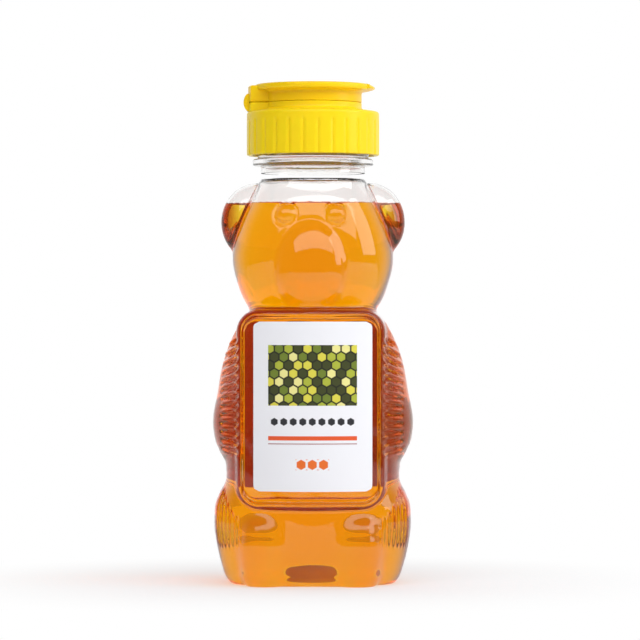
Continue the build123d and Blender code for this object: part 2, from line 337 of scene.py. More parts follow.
def surface_net(field, low, high, step):
    """A quad mesh on the zero of a field, its points moved on to the true surface."""
    axes = [np.arange(low[i], high[i] + step, step) for i in range(3)]
    value = grid_values(field, axes)
    inside = value < 0
    cells = tuple(n - 1 for n in value.shape)
    places, numbers, crossings = [], [], []
    for axis in range(3):
        head = [slice(None)] * 3
        tail = [slice(None)] * 3
        head[axis] = slice(0, -1)
        tail[axis] = slice(1, None)
        head, tail = tuple(head), tuple(tail)
        at = np.argwhere(inside[head] != inside[tail])
        ahead = at.copy()
        ahead[:, axis] += 1
        first = value[tuple(at.T)]
        second = value[tuple(ahead.T)]
        place = at.astype(float)
        place[:, axis] += first / (first - second)
        crossings.append((at, first < 0))
        others = [i for i in range(3) if i != axis]
        for a, b in ((0, 0), (1, 0), (0, 1), (1, 1)):
            cell = at.copy()
            cell[:, others[0]] -= a
            cell[:, others[1]] -= b
            fits = np.all((cell >= 0) & (cell < cells), axis=1)
            numbers.append(np.ravel_multi_index(tuple(cell[fits].T), cells))
            places.append(place[fits])
    numbers, places = np.concatenate(numbers), np.concatenate(places)
    used, index, count = np.unique(numbers, return_inverse=True, return_counts=True)
    points = np.stack([np.bincount(index, places[:, i]) for i in range(3)], axis=1)
    points = np.array(low) + points / count[:, None] * step
    quads = []
    for axis, (at, outward) in enumerate(crossings):
        u, v = [(1, 2), (2, 0), (0, 1)][axis]
        corners, whole = [], np.ones(len(at), bool)
        for a, b in ((0, 0), (-1, 0), (-1, -1), (0, -1)):
            cell = at.copy()
            cell[:, u] += a
            cell[:, v] += b
            whole &= np.all((cell >= 0) & (cell < cells), axis=1)
            corners.append(np.clip(cell, 0, np.array(cells) - 1))
        flat = [np.ravel_multi_index(tuple(corner.T), cells) for corner in corners]
        face = np.stack([np.searchsorted(used, place) for place in flat], axis=1)
        face = np.where(outward[:, None], face, face[:, ::-1])
        quads.append(face[whole])
    return settle(field, points, step), np.concatenate(quads)


def settle(field, points, step):
    """Moves points on to the zero of the field."""
    nudge, flattest, rounds = 0.02, 0.05, 2
    for _ in range(rounds):
        here = field(points.T)
        slope = np.zeros_like(points)
        for axis in range(3):
            ahead = points.copy()
            ahead[:, axis] += nudge
            slope[:, axis] = (field(ahead.T) - here) / nudge
        steep = np.maximum((slope**2).sum(axis=1), flattest)
        shift = (here / steep)[:, None] * slope
        points = points - np.clip(shift, -step / 2, step / 2)
    return points


def turned_rows(rows, segments, reach=None):
    """Points and quads of a turned form. reach changes a row's radius by angle."""
    turn = np.arange(segments) * 2 * math.pi / segments
    points = []
    for radius, level in rows:
        radii = np.full(segments, float(radius))
        if reach is not None:
            radii = reach(radii, level, turn)
        ring = [radii * np.cos(turn), radii * np.sin(turn), np.full(segments, level)]
        points.append(np.stack(ring, axis=1))
    quads = []
    step = np.arange(segments)
    following = (step + 1) % segments
    for row in range(len(rows) - 1):
        base, above = row * segments, (row + 1) * segments
        corners = [base + step, base + following, above + following, above + step]
        quads.append(np.stack(corners, axis=1))
    return np.concatenate(points), np.concatenate(quads)


def linked(name, data):
    """A new object in the scene."""
    made = bpy.data.objects.new(name, data)
    bpy.context.scene.collection.objects.link(made)
    return made


def mesh_object(name, points, faces):
    """A new object from points in millimetres."""
    mesh = bpy.data.meshes.new(name)
    if isinstance(faces, np.ndarray):
        mesh.vertices.add(len(points))
        mesh.vertices.foreach_set("co", (np.asarray(points) * MM).ravel())
        mesh.loops.add(faces.size)
        mesh.loops.foreach_set("vertex_index", faces.ravel())
        mesh.polygons.add(len(faces))
        mesh.polygons.foreach_set("loop_start", np.arange(len(faces)) * faces.shape[1])
        mesh.polygons.foreach_set("use_smooth", np.full(len(faces), True))
        mesh.update(calc_edges=True)
    else:
        whole = [list(map(int, face)) for face in faces]
        mesh.from_pydata((np.asarray(points) * MM).tolist(), [], whole)
    mesh.validate()
    return linked(name, mesh)


def join(parts, name):
    """One object of several."""
    bm = bmesh.new()
    for part in parts:
        bm.from_mesh(part.data)
    mesh = bpy.data.meshes.new(name)
    bm.to_mesh(mesh)
    bm.free()
    for part in parts:
        bpy.data.objects.remove(part)
    return linked(name, mesh)


def shade_by_angle(made, degrees):
    """Smooth faces, with edges sharper than the angle kept crisp."""
    bm = bmesh.new()
    bm.from_mesh(made.data)
    bmesh.ops.recalc_face_normals(bm, faces=bm.faces)
    limit = math.radians(degrees)
    for edge in bm.edges:
        sharp = len(edge.link_faces) != 2 or edge.calc_face_angle(0) > limit
        edge.smooth = not sharp
    for face in bm.faces:
        face.smooth = True
    bm.to_mesh(made.data)
    bm.free()


def arc_rows(centre, radius, start, end, count):
    """Points of an arc in a turned outline, angles in degrees from outward."""
    rows = []
    for i in range(count + 1):
        angle = math.radians(start + (end - start) * i / count)
        rows.append((centre[0] + radius * math.cos(angle), centre[1] + radius * math.sin(angle)))
    return rows


def dense_rows(rows, longest):
    """The same outline with long runs divided."""
    filled = [rows[0]]
    for low, high in zip(rows, rows[1:]):
        parts = max(1, math.ceil(math.dist(low, high) / longest))
        for i in range(1, parts + 1):
            share = i / parts
            filled.append(tuple(a + (b - a) * share for a, b in zip(low, high)))
    return filled


# Node materials

def new_material(name):
    material = bpy.data.materials.new(name)
    material.use_nodes = True
    nodes = material.node_tree.nodes
    nodes.clear()
    return material, nodes, material.node_tree.links


def add(nodes, kind, values=(), **settings):
    """A new node with its settings, and the values of its sockets by name."""
    node = nodes.new(kind)
    for setting, value in settings.items():
        setattr(node, setting, value)
    for socket, value in dict(values).items():
        node.inputs[socket].default_value = value
    return node


def show(nodes, links, shader):
    """Makes a shader the material's surface, and gives the output node."""
    out = nodes.new("ShaderNodeOutputMaterial")
    links.new(shader.outputs[0], out.inputs["Surface"])
    return out


def mix_of(nodes, links, factor, first, second):
    """A mix of two shaders by a socket's factor."""
    mix = nodes.new("ShaderNodeMixShader")
    links.new(factor, mix.inputs["Fac"])
    links.new(first.outputs[0], mix.inputs[1])
    links.new(second.outputs[0], mix.inputs[2])
    return mix


def straight_for_shadows(nodes, links, shader, colour):
    """A shader that light for shadows passes unbent, tinted by the colour."""
    straight = add(nodes, "ShaderNodeBsdfTransparent", {"Color": colour})
    path = nodes.new("ShaderNodeLightPath")
    return mix_of(nodes, links, path.outputs["Is Shadow Ray"], shader, straight)


def combined(nodes, links, operation, first, second, **settings):
    """Two sockets' values in one."""
    node = add(nodes, "ShaderNodeMath", operation=operation, **settings)
    links.new(first, node.inputs[0])
    links.new(second, node.inputs[1])
    return node.outputs[0]


def smooth_range(nodes, links, value, low, high, first=0.0, last=1.0):
    """Runs smoothly from the first number to the last as a value goes from low to high."""
    limits = {"From Min": low, "From Max": high, "To Min": first, "To Max": last}
    reach = add(nodes, "ShaderNodeMapRange", limits, interpolation_type="SMOOTHSTEP")
    links.new(value, reach.inputs["Value"])
    return reach.outputs["Result"]


def by_place(nodes, links, *limits):
    """Rises from 0 to 1 over each (way, low, high) in millimetres, or falls if low is larger."""
    where = nodes.new("ShaderNodeTexCoord")
    parts = nodes.new("ShaderNodeSeparateXYZ")
    links.new(where.outputs["Object"], parts.inputs[0])
    aside = add(nodes, "ShaderNodeMath", operation="ABSOLUTE")
    links.new(parts.outputs["X"], aside.inputs[0])
    ways = {"aside": aside.outputs[0], "up": parts.outputs["Z"]}
    factor = None
    for way, low, high in limits:
        reach = smooth_range(nodes, links, ways[way], low * MM, high * MM)
        factor = reach if factor is None else combined(nodes, links, "MULTIPLY", factor, reach)
    return factor


def colour_between(nodes, links, factor, first, second):
    """The output of a mix of two colours."""
    tone = add(nodes, "ShaderNodeMix", data_type="RGBA")
    tone.inputs["A"].default_value = first
    tone.inputs["B"].default_value = second
    links.new(factor, tone.inputs["Factor"])
    return tone.outputs["Result"]


def noise_bump(nodes, links, scale, strength, distance):
    """Fine relief from noise on object coordinates."""
    where = nodes.new("ShaderNodeTexCoord")
    noise = add(nodes, "ShaderNodeTexNoise", {"Scale": scale, "Detail": 3.0})
    links.new(where.outputs["Object"], noise.inputs["Vector"])
    bump = add(nodes, "ShaderNodeBump", {"Strength": strength, "Distance": distance})
    links.new(noise.outputs["Fac"], bump.inputs["Height"])
    return noise, bump


def clear_plastic():
    """Blown PET, clear and glossy with a few scuffs; painted amber tint on the arms' reflections.
    """
    material, nodes, links = new_material("clear_pet")
    shader = add(nodes, "ShaderNodeBsdfPrincipled", {
        "Base Color": (0.985, 0.975, 0.965, 1), "Transmission Weight": 1.0, "IOR": 1.5})
    on_arm = by_place(
        nodes, links, ("aside", 20.0, 23.0), ("up", 34.0, 40.0), ("up", 94.0, 88.0))
    # Painted reflection: the sheen on the arms is tinted amber by place.
    sheen = colour_between(nodes, links, on_arm, WHITE, (1.0, 0.86, 0.42, 1))
    links.new(sheen, shader.inputs["Specular Tint"])
    noise, bump = noise_bump(nodes, links, scale=420.0, strength=0.05, distance=0.0002)
    rough = add(nodes, "ShaderNodeMapRange", {
        "From Min": 0.35, "From Max": 0.75, "To Min": 0.0, "To Max": 0.03})
    links.new(noise.outputs["Fac"], rough.inputs["Value"])
    links.new(rough.outputs["Result"], shader.inputs["Roughness"])
    links.new(bump.outputs["Normal"], shader.inputs["Normal"])
    show(nodes, links, straight_for_shadows(nodes, links, shader, (0.93, 0.92, 0.91, 1)))
    return material


def wet_wall():
    """Inside, where honey wets the wall: light unbent, a faint haze, painted amber shade at the
    ears.
    """
    material, nodes, links = new_material("wet_wall")
    film = add(nodes, "ShaderNodeBsdfRefraction", {"IOR": 1.0, "Roughness": 0.0})
    # Painted shade: light passing the wall at the ears is tinted darker amber.
    in_ear = by_place(nodes, links, ("aside", 20.5, 26.0), ("up", 101.0, 105.0))
    amber = colour_between(nodes, links, in_ear, WHITE, (0.68, 0.38, 0.16, 1))
    links.new(amber, film.inputs["Color"])
    haze = add(nodes, "ShaderNodeBsdfDiffuse", {"Color": (1.0, 0.44, 0.03, 1)})
    hazy = add(nodes, "ShaderNodeMixShader", {"Fac": 0.03})
    links.new(film.outputs["BSDF"], hazy.inputs[1])
    links.new(haze.outputs["BSDF"], hazy.inputs[2])
    show(nodes, links, straight_for_shadows(nodes, links, hazy, WHITE))
    return material


def worn_punt_painted_light():
    """The push-up under the bottle, frosted by wear, in painted amber light, darker towards the
    top.
    """
    material, nodes, links = new_material("frosted_punt_painted_light")
    skin = add(nodes, "ShaderNodeBsdfPrincipled", {"Roughness": 0.5, "Specular IOR Level": 0.2})
    height = by_place(nodes, links, ("up", 0.5, PUNT_RADII[2]))
    # Painted light: the amber that light through the honey would give, darker towards the dome's
    # top.
    tone = colour_between(nodes, links, height, (0.80, 0.52, 0.26, 1), (0.34, 0.21, 0.12, 1))
    links.new(tone, skin.inputs["Base Color"])
    _, bump = noise_bump(nodes, links, scale=300.0, strength=0.2, distance=0.0003)
    links.new(bump.outputs["Normal"], skin.inputs["Normal"])
    show(nodes, links, skin)
    return material


def honey_material():
    """Amber honey: its colour comes from the depth that light passes through."""
    material, nodes, links = new_material("amber_honey")
    top = add(nodes, "ShaderNodeBsdfPrincipled", {
        "Base Color": (1, 0.97, 0.9, 1), "Transmission Weight": 1.0, "IOR": 1.49, "Roughness": 0.0})
    side = nodes.new("ShaderNodeBsdfTransparent")
    mask = add(nodes, "ShaderNodeAttribute", attribute_name="open_surface")
    shadow = nodes.new("ShaderNodeLightPath").outputs["Is Shadow Ray"]
    bent = combined(nodes, links, "SUBTRACT", mask.outputs["Fac"], shadow, use_clamp=True)
    out = show(nodes, links, mix_of(nodes, links, bent, side, top))
    volume = add(nodes, "ShaderNodeVolumeAbsorption", {
        "Color": (0.9917, 0.91, 0.0, 1), "Density": 300.0})
    links.new(volume.outputs["Volume"], out.inputs["Volume"])
    return material


def moulded_plastic(name, colour, roughness, grain):
    """Moulded plastic with a fine grain and slight colour drift."""
    material, nodes, links = new_material(name)
    shader = add(nodes, "ShaderNodeBsdfPrincipled", {
        "Roughness": roughness, "Specular IOR Level": 0.25, "Subsurface Weight": 0.25,
        "Subsurface Radius": (1.0, 0.6, 0.1), "Subsurface Scale": 0.0015})
    where = nodes.new("ShaderNodeTexCoord")
    drift = add(nodes, "ShaderNodeTexNoise", {"Scale": 60.0})
    links.new(where.outputs["Object"], drift.inputs["Vector"])
    darker = [part * 0.93 for part in colour]
    tone = colour_between(nodes, links, drift.outputs["Fac"], (*colour, 1), (*darker, 1))
    links.new(tone, shader.inputs["Base Color"])
    _, bump = noise_bump(nodes, links, scale=900.0, strength=grain, distance=0.0001)
    links.new(bump.outputs["Normal"], shader.inputs["Normal"])
    show(nodes, links, shader)
    return material


def coated(name, colour, roughness, grain):
    """A sheet's finely grained surface, with what a print on it needs."""
    material, nodes, links = new_material(name)
    shader = add(nodes, "ShaderNodeBsdfPrincipled", {
        "Base Color": (*colour, 1), "Roughness": roughness})
    _, bump = noise_bump(nodes, links, scale=1500.0, strength=grain, distance=0.0001)
    links.new(bump.outputs["Normal"], shader.inputs["Normal"])
    show(nodes, links, shader)
    return material, nodes, links, shader


def printed_paper():
    """White label with a honeycomb panel, a row of hexagons, a bar, a rule and three hexagons."""
    made = coated("printed_paper", LABEL_WHITE, roughness=0.42, grain=0.06)
    material, nodes, links, shader = made

    def feed(socket, value):
        if isinstance(value, bpy.types.NodeSocket):
            links.new(value, socket)
        else:
            socket.default_value = value

    def calc(operation, a, b=0.0, c=0.0):
        node = add(nodes, "ShaderNodeMath", operation=operation)
        for socket, value in zip(node.inputs, (a, b, c)):
            feed(socket, value)
        return node.outputs[0]

    def both(operation, a, b=(0, 0, 0)):
        node = add(nodes, "ShaderNodeVectorMath", operation=operation)
        feed(node.inputs[0], a)
        feed(node.inputs[1], b)
        return node.outputs["Value" if operation in ("LENGTH", "DOT_PRODUCT") else "Vector"]

    def under(value, limit, edge=0.03):
        limits = {"From Min": limit + edge, "From Max": limit - edge}
        node = add(nodes, "ShaderNodeMapRange", limits)
        feed(node.inputs["Value"], value)
        return node.outputs["Result"]

    def blend(factor, a, b):
        node = add(nodes, "ShaderNodeMix", data_type="RGBA")
        feed(node.inputs[0], factor)
        feed(node.inputs["A"], a if isinstance(a, bpy.types.NodeSocket) else (*a, 1))
        feed(node.inputs["B"], b if isinstance(b, bpy.types.NodeSocket) else (*b, 1))
        return node.outputs["Result"]

    def box(level, half_width, half_height):
        side = under(calc("ABSOLUTE", across), half_width)
        height = under(calc("ABSOLUTE", calc("SUBTRACT", up, level)), half_height)
        return calc("MULTIPLY", side, height)

    def hexagons(place, pitch):
        """Distance from the nearest cell's middle, in pitches, and that middle."""
        scaled = both("DIVIDE", place, (pitch, pitch, 1))
        shift = both("ADD", scaled, (100, 100 * SQRT3, 0))
        offsets = []
        for start in ((0, 0, 0), (0.5, SQRT3 / 2, 0)):
            moved = both("ADD", shift, start)
            wrapped = both("MODULO", moved, (1, SQRT3, 1))
            offsets.append(both("SUBTRACT", wrapped, (0.5, SQRT3 / 2, 0)))
        first, second = [both("DOT_PRODUCT", o, o) for o in offsets]
        nearer = calc("LESS_THAN", first, second)
        pick = add(nodes, "ShaderNodeMix", data_type="VECTOR")
        feed(pick.inputs[0], nearer)
        feed(pick.inputs[4], offsets[1])
        feed(pick.inputs[5], offsets[0])
        offset = pick.outputs[1]
        size = both("ABSOLUTE", offset)
        slant = both("DOT_PRODUCT", size, (0.5, SQRT3 / 2, 0))
        flat = both("DOT_PRODUCT", size, (1, 0, 0))
        return calc("MAXIMUM", slant, flat), both("SUBTRACT", shift, offset)

    sheet = add(nodes, "ShaderNodeUVMap", uv_map="sheet")
    centred = both("SUBTRACT", sheet.outputs["UV"], (0.5, 0.5, 0))
    place = both("MULTIPLY", centred, (LABEL_SIZE[0], LABEL_SIZE[1], 0))
    parts = nodes.new("ShaderNodeSeparateXYZ")
    links.new(place, parts.inputs[0])
    across, up = parts.outputs["X"], parts.outputs["Y"]

    def lone_row(pitch, level):
        """Distance from the middles of one row of cells at a level."""
        half = pitch / 2
        shifted = both("SUBTRACT", place, (half, level - half * SQRT3, 0))
        return hexagons(shifted, pitch)[0]

    # Levels and half sizes in millimetres from the label's middle
    comb_pitch, badge_pitch, half_print = 2.9, 3.4, 13.5
    comb_level, row_level, bar_level, rule_level, badge_level = 9.5, -4.6, -9.6, -11.3, -17.6
    reach, middle = hexagons(place, comb_pitch)
    random = nodes.new("ShaderNodeTexWhiteNoise")
    rounded = both("FLOOR", both("ADD", both("MULTIPLY", middle, (4, 4, 0)), (0.5, 0.5, 0)))
    links.new(rounded, random.inputs["Vector"])
    cells = nodes.new("ShaderNodeValToRGB")
    cells.color_ramp.interpolation = "CONSTANT"
    stops = ((0.0, (0.045, 0.055, 0.008)), (0.3, (0.16, 0.22, 0.02)), (0.5, (0.42, 0.47, 0.04)),
             (0.72, (0.72, 0.66, 0.07)), (0.9, (0.85, 0.80, 0.30)))
    while len(cells.color_ramp.elements) < len(stops):
        cells.color_ramp.elements.new(0.5)
    for element, (position, colour) in zip(cells.color_ramp.elements, stops):
        element.position = position
        element.color = (*colour, 1)
    links.new(random.outputs["Value"], cells.inputs["Fac"])
    comb = blend(under(reach, 0.42), (0.012, 0.013, 0.004), cells.outputs["Color"])
    colour = blend(box(comb_level, half_print, 9.2), LABEL_WHITE, comb)
    row = box(row_level, 13.05, 1.3)
    row = calc("MULTIPLY", under(lone_row(comb_pitch, row_level), 0.36), row)
    colour = blend(row, colour, (0.02, 0.02, 0.025))
    colour = blend(box(bar_level, half_print, 0.65), colour, (0.80, 0.10, 0.02))
    colour = blend(box(rule_level, half_print, 0.13), colour, (0.30, 0.03, 0.02))
    badge = box(badge_level, 5.1, 1.62)
    badge = calc("MULTIPLY", under(lone_row(badge_pitch, badge_level), 0.40), badge)
    colour = blend(badge, colour, (0.83, 0.16, 0.015))
    links.new(colour, shader.inputs["Base Color"])
    return material


# Bottle

def bottle_piece(clear, wet, worn_and_painted_punt):
    """The shell: outside, inside and the turned neck that joins them."""
    low, high = (-32.5, -27.5, -1.1), (32.5, 27.5, SEAM_LEVEL + 2.2)
    seam_slack, wall_slack, climb, punt_slack = 0.4, 0.3, 0.9, 0.4
    outside = mesh_object("outside", *surface_net(outer_field, low, high, FINE))
    inside_points, inside_faces = surface_net(inner_field, low, high, STEP)
    inside = mesh_object("inside", inside_points, inside_faces[:, ::-1])
    for part in (outside, inside):
        cut_above(part, SEAM_LEVEL * MM)
    neck_part = neck_rows()
    shell = join([outside, inside, neck_part], "bear_shell")
    bm = bmesh.new()
    bm.from_mesh(shell.data)
    rims = [e for e in bm.edges if len(e.link_faces) == 1]
    for radius in (NECK_RADIUS, BORE_RADIUS):
        ring = [e for e in rims if abs(edge_reach(e) - radius * MM) < seam_slack * MM]
        bmesh.ops.bridge_loops(bm, edges=ring)
    for face in bm.faces:
        face.smooth = True
    bm.to_mesh(shell.data)
    bm.free()
    count = len(shell.data.polygons)
    centres = np.zeros(count * 3)
    shell.data.polygons.foreach_get("center", centres)
    centres = centres.reshape(count, 3).T / MM
    wetted = centres[2] < HONEY_LEVEL + climb
    wetted &= np.abs(inner_field(centres)) < wall_slack
    # Faces of the push-up take the frosted material with painted amber light.
    under = np.hypot(centres[0], centres[1]) < PUNT_RADII[0]
    under &= (centres[2] < PUNT_RADII[2] + punt_slack) & ~wetted
    shell.data.polygons.foreach_set("material_index", (wetted + 2 * under).astype(np.int32))
    for material in (clear, wet, worn_and_painted_punt):
        shell.data.materials.append(material)
    return shell


def edge_reach(edge):
    """How far an edge's middle is from the bottle's axis."""
    middle = (edge.verts[0].co + edge.verts[1].co) / 2
    return math.hypot(middle.x, middle.y)


def cut_above(made, level):
    """Cuts off all that is over a level, in metres."""
    bm = bmesh.new()
    bm.from_mesh(made.data)
    everything = bm.verts[:] + bm.edges[:] + bm.faces[:]
    plane = {"plane_co": (0, 0, level), "plane_no": (0, 0, 1)}
    bmesh.ops.bisect_plane(bm, geom=everything, **plane, clear_outer=True)
    bm.to_mesh(made.data)
    bm.free()


def neck_rows():
    """The neck from the seam over the rim and down the bore, with its thread."""
    root, edge, lip = 0.5, 0.6, 0.4
    foot = SEAM_LEVEL + 0.2
    rows = [(NECK_RADIUS, foot), (NECK_RADIUS, RING_FOOT - root)]
    rows += arc_rows((NECK_RADIUS + root, RING_FOOT - root), root, 180, 90, 4)
    rows += arc_rows((RING_RADIUS - edge, RING_FOOT + edge), edge, -90, 0, 5)
    rows += arc_rows((RING_RADIUS - edge, RING_TOP - edge), edge, 0, 90, 5)
    rows += arc_rows((FINISH_RADIUS + root, RING_TOP + root), root, -90, -180, 4)
    rows += [(FINISH_RADIUS, RIM_LEVEL - edge)]
    rows += arc_rows((FINISH_RADIUS - edge, RIM_LEVEL - edge), edge, 0, 90, 4)
    rows += arc_rows((BORE_RADIUS + lip, RIM_LEVEL - lip), lip, 90, 180, 4)
    rows += [(BORE_RADIUS, foot)]
    rows = dense_rows(rows, 0.45)
    points, faces = turned_rows(rows, 240, neck_thread)
    return mesh_object("neck", points, faces)


def neck_thread(radii, level, turn):
    """A single right-hand thread on the finish."""
    if level <= RING_TOP + 0.6 or level >= RIM_LEVEL - 0.5 or radii[0] < FINISH_RADIUS - 0.05:
        return radii
    phase = (level - RING_TOP) / THREAD_PITCH - turn / (2 * math.pi)
    wave = np.abs((phase % 1.0) - 0.5) * THREAD_PITCH
    crest, root = 0.35, 1.15
    ridge = 1 - smooth_step(wave, crest, root)
    fade = smooth_step(level, RING_TOP + 0.9, RING_TOP + 2.2)
    fade *= 1 - smooth_step(level, RIM_LEVEL - 2.2, RIM_LEVEL - 0.9)
    return radii + NECK_THREAD_HEIGHT * ridge * fade


def honey_piece(material):
    """The honey, with its free surface marked as the part that bends light."""
    low, high = (-31.5, -26.5, 0.0), (31.5, 26.5, HONEY_LEVEL + 1.65)
    points, faces = surface_net(honey_field, low, high, STEP)
    made = mesh_object("honey_fill", points, faces)
    below, off_wall = 0.12, 0.05
    free = points[:, 2] > HONEY_LEVEL - below
    free &= inner_field(points.T) < -HONEY_GAP - off_wall
    mask = made.data.attributes.new("open_surface", "FLOAT", "POINT")
    mask.data.foreach_set("value", free.astype(np.float32))
    made.data.materials.append(material)
    return made


# Labels

def label_piece(name, side, outer, inner):
    """A thin curved sheet with rounded corners; side is -1 in front and 1 behind."""
    width, length, corner = LABEL_SIZE
    columns, rows, off_panel = 48, 68, 0.02
    points, faces, places = [], [], []
    for layer in (0, 1):
        radius = PANEL_CURVE + off_panel + LABEL_THICKNESS * layer
        for j in range(rows + 1):
            v = -length / 2 + length * j / rows
            inset = max(0.0, abs(v) - (length / 2 - corner))
            half = width / 2 - corner + math.sqrt(max(corner**2 - inset**2, 0))
            for i in range(columns + 1):
                u = half * (2 * i / columns - 1)
                x = u + LABEL_SHIFT
                y = PANEL_REACH - PANEL_CURVE + math.sqrt(radius**2 - x * x)
                points.append((x, side * y, LABEL_MIDDLE + v))
                places.append((u / width + 0.5, v / length + 0.5))
    layer_size = (rows + 1) * (columns + 1)
    for layer in (0, 1):
        for j in range(rows):
            for i in range(columns):
                a = layer * layer_size + j * (columns + 1) + i
                quad = (a, a + 1, a + columns + 2, a + columns + 1)
                faces.append(quad if layer else quad[::-1])
    edge = [j * (columns + 1) for j in range(rows)]
    edge += [rows * (columns + 1) + i for i in range(columns)]
    edge += [j * (columns + 1) + columns for j in range(rows, 0, -1)]
    edge += list(range(columns, 0, -1))
    for a, b in zip(edge, edge[1:] + edge[:1]):
        faces.append((a, b, b + layer_size, a + layer_size))
    made = mesh_object(name, points, faces)
    uv = made.data.uv_layers.new(name="sheet")
    for loop in made.data.loops:
        uv.data[loop.index].uv = places[loop.vertex_index]
    made.data.materials.append(outer)
    made.data.materials.append(inner)
    for polygon in made.data.polygons[:rows * columns]:
        polygon.material_index = 1
    shade_by_angle(made, degrees=40)
    return made


# Closure

CAP_RADIUS = 20.5
SKIRT_WALL = 1.6
CAP_FOOT = 132.2
DECK_FOOT = 144.4
DECK_LEVEL = 145.8
SPLIT_LEVEL = 148.5
LID_FOOT = 148.6
LID_TOP = 154.2
DRUM_RADIUS = 15.1
FLANGE_RADIUS = 18.1
FLUTES = 28
FLUTE_DEPTH = 0.32
CAP_THREAD_HEIGHT = 1.1
BLOCK_GAP = 0.02
CRISP_ANGLE = 38


def flute_reach(radii, level, turn):
    """Shallow upright flutes cut into the skirt."""
    if radii[0] < CAP_RADIUS - 0.3 or level > DECK_LEVEL - 2.0:
        return radii
    phase = (turn / (2 * math.pi) * FLUTES) % 1.0
    width = np.abs(phase - 0.5) * 2 * math.pi * CAP_RADIUS / FLUTES
    floor, edge = 0.12, 0.62
    cut = 1 - smooth_step(width, floor, edge)
    fade = 1 - smooth_step(level, DECK_LEVEL - 3.2, DECK_LEVEL - 2.4)
    return radii - FLUTE_DEPTH * cut * fade


def cap_thread(radii, level, turn):
    """Thread ridge inside the skirt, between the turns of the neck's thread."""
    if level > DECK_FOOT - 1.0 or abs(radii[0] - (CAP_RADIUS - SKIRT_WALL)) > 0.05:
        return radii
    phase = (level - RING_TOP) / THREAD_PITCH - turn / (2 * math.pi) + 0.5
    wave = np.abs((phase % 1.0) - 0.5) * THREAD_PITCH
    crest, root = 0.3, 0.9
    ridge = 1 - smooth_step(wave, crest, root)
    fade = smooth_step(level, CAP_FOOT + 1.2, CAP_FOOT + 2.4)
    fade *= 1 - smooth_step(level, DECK_FOOT - 3.0, DECK_FOOT - 1.8)
    return radii - CAP_THREAD_HEIGHT * ridge * fade


def cap_reach(radii, level, turn):
    return cap_thread(flute_reach(radii, level, turn), level, turn)


def cap_piece(material):
    """Skirt, deck, platform, spigot ring, nozzle and lower hinge block."""
    inner, edge, shoulder = CAP_RADIUS - SKIRT_WALL, 0.3, 0.9
    spigot, spigot_bore, bore, well, well_depth = 13.5, 12.5, 3.0, 13.6, 1.5
    rows = [(inner, CAP_FOOT + edge), (inner + edge, CAP_FOOT), (CAP_RADIUS - edge, CAP_FOOT)]
    rows += [(CAP_RADIUS, CAP_FOOT + edge), (CAP_RADIUS, DECK_LEVEL - shoulder)]
    rows += arc_rows((CAP_RADIUS - shoulder, DECK_LEVEL - shoulder), shoulder, 0, 84, 6)
    rows += arc_rows((DRUM_RADIUS + 1.0, DECK_LEVEL + 1.55), 1.0, -96, -180, 6)
    rows += [(DRUM_RADIUS, SPLIT_LEVEL - 0.15), (DRUM_RADIUS - 0.15, SPLIT_LEVEL)]
    rows += [(spigot, SPLIT_LEVEL), (spigot, SPLIT_LEVEL + 1.1), (13.2, SPLIT_LEVEL + 1.4)]
    rows += [(12.8, SPLIT_LEVEL + 1.4), (spigot_bore, SPLIT_LEVEL + 1.1)]
    rows += [(spigot_bore, SPLIT_LEVEL), (5.2, SPLIT_LEVEL), (4.65, SPLIT_LEVEL + 0.4)]
    rows += [(4.0, SPLIT_LEVEL + 2.7), (3.8, SPLIT_LEVEL + 3.0), (3.2, SPLIT_LEVEL + 3.0)]
    rows += [(bore, SPLIT_LEVEL + 2.8), (bore, SPLIT_LEVEL - well_depth)]
    rows += [(well, SPLIT_LEVEL - well_depth), (well, DECK_FOOT), (inner, DECK_FOOT)]
    rows += [(inner, CAP_FOOT + edge)]
    turned = turned_rows(dense_rows(rows, 0.5), FLUTES * 12, cap_reach)
    body = mesh_object("turned_cap", *turned)
    block = hinge_block("lower_block", DECK_LEVEL - 0.6, SPLIT_LEVEL - BLOCK_GAP)
    made = join([body, block], "screw_cap")
    merge_close(made)
    shade_by_angle(made, CRISP_ANGLE)
    made.data.materials.append(material)
    return made


def merge_close(made):
    """Makes one point of points that meet."""
    bm = bmesh.new()
    bm.from_mesh(made.data)
    bmesh.ops.remove_doubles(bm, verts=bm.verts, dist=0.01 * MM)
    bm.to_mesh(made.data)
    bm.free()


def hinge_block(name, low, high):
    """A block behind the drum, its back rounded to the skirt and its edges eased."""
    half, root, reach, ease, steps = 7.0, 14.45, 20.1, 0.35, 12
    spread = [2 * i / steps - 1 for i in range(steps + 1)]
    outline = []
    for radius, width, order in ((reach, half - ease, spread), (root, half, spread[::-1])):
        outline += [(-math.sqrt(radius**2 - (t * width) ** 2), t * width) for t in order]
    points, faces = [], []
    levels = [(low, ease), (low + ease, 0.0), (high - ease, 0.0), (high, ease)]
    count = len(outline)
    for level, inset in levels:
        for x, y in outline:
            points.append((x + (inset if x < -root - 1 else 0), y * (1 - inset / half), level))
    for row in range(len(levels) - 1):
        for i in range(count):
            j = (i + 1) % count
            a, b = row * count, (row + 1) * count
            faces.append((a + i, b + i, b + j, a + j))
    faces.append(tuple(range(count)))
    faces.append(tuple(range((len(levels) - 1) * count, len(levels) * count))[::-1])
    return mesh_object(name, points, faces)


